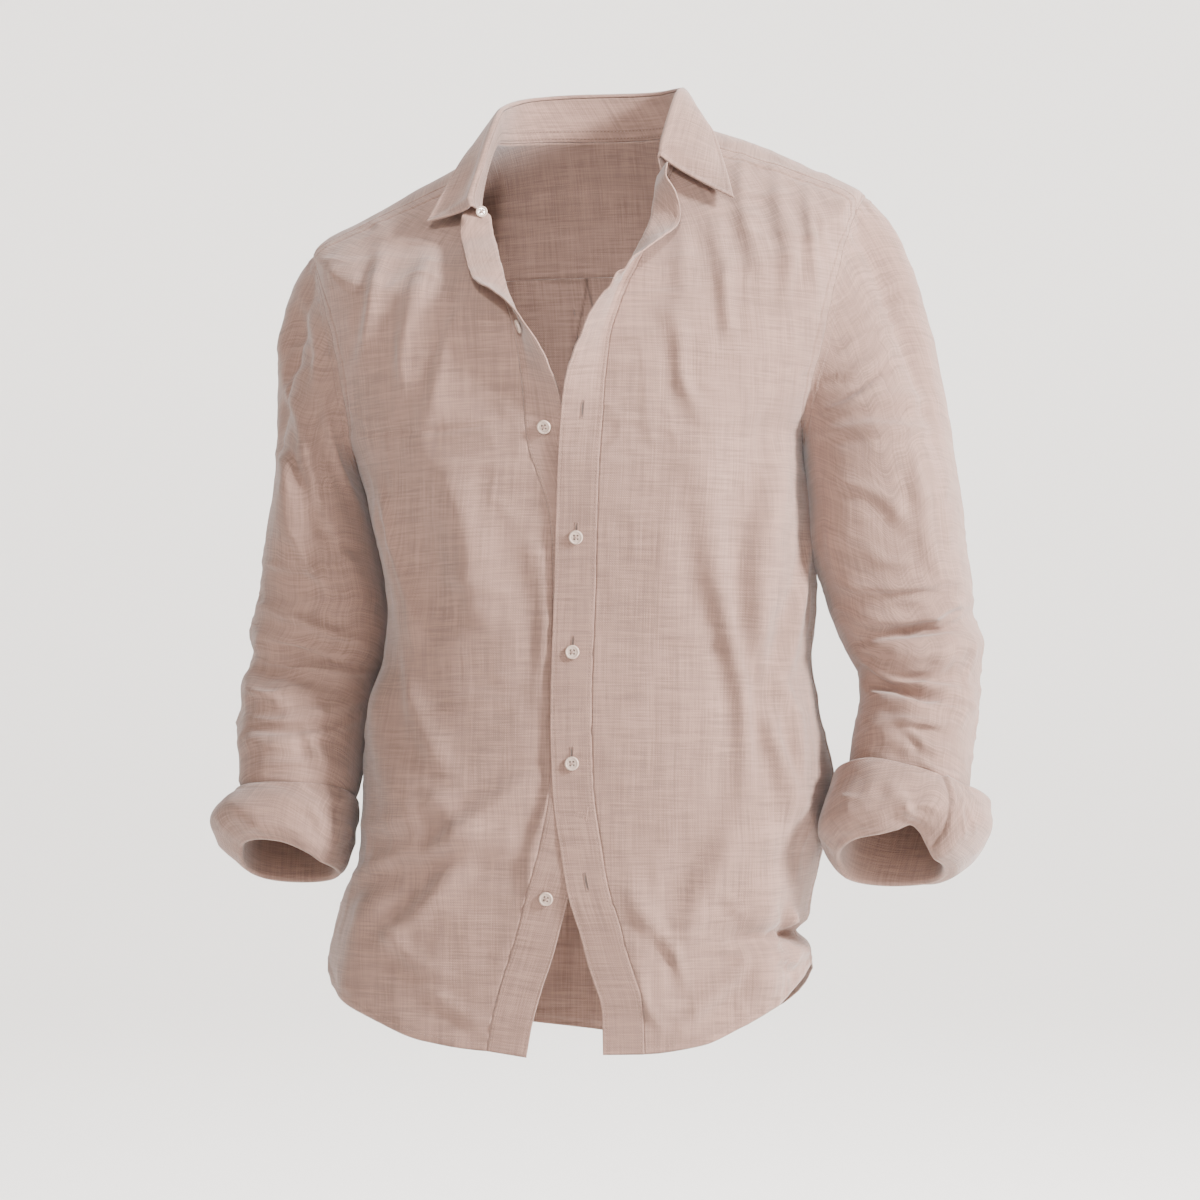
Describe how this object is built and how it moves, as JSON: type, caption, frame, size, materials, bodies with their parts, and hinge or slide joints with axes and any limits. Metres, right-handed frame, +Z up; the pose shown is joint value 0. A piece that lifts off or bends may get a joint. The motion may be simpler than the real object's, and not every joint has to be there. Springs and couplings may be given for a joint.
{
  "type": "shirt",
  "caption": "Man's long-sleeved linen shirt in its worn form: open collar, fronts turned back at the neck, sleeves rolled to the elbow, curved shirt-tail hem.",
  "frame": {"origin": "where the back of the collar rests on the wearer's neck, at the neck seam's height inside the collar", "axes": "+Z up, -Y the way the front faces, +X the wearer's left"},
  "size_m": [0.6435, 0.2777, 0.8037],
  "materials": {
    "linen": "matt slubby plain weave, mauve-taupe",
    "buttons": "satin, pale pinkish shell"
  },
  "bodies": {
    "root": {"front_right": "linen", "front_left": "linen", "band_right": "linen", "band_left": "linen", "back": "linen", "yoke": "linen", "sleeve_right_upper": "linen", "sleeve_right_lower": "linen", "sleeve_left_upper": "linen", "sleeve_left_lower": "linen", "cuff_right": "linen", "cuff_left": "linen", "collar_stand": "linen", "collar_leaf": "linen", "button_1": "buttons", "button_2": "buttons", "button_3": "buttons", "button_4": "buttons", "button_5": "buttons", "button_6": "buttons", "button_7": "buttons"}
  },
  "joints": []
}
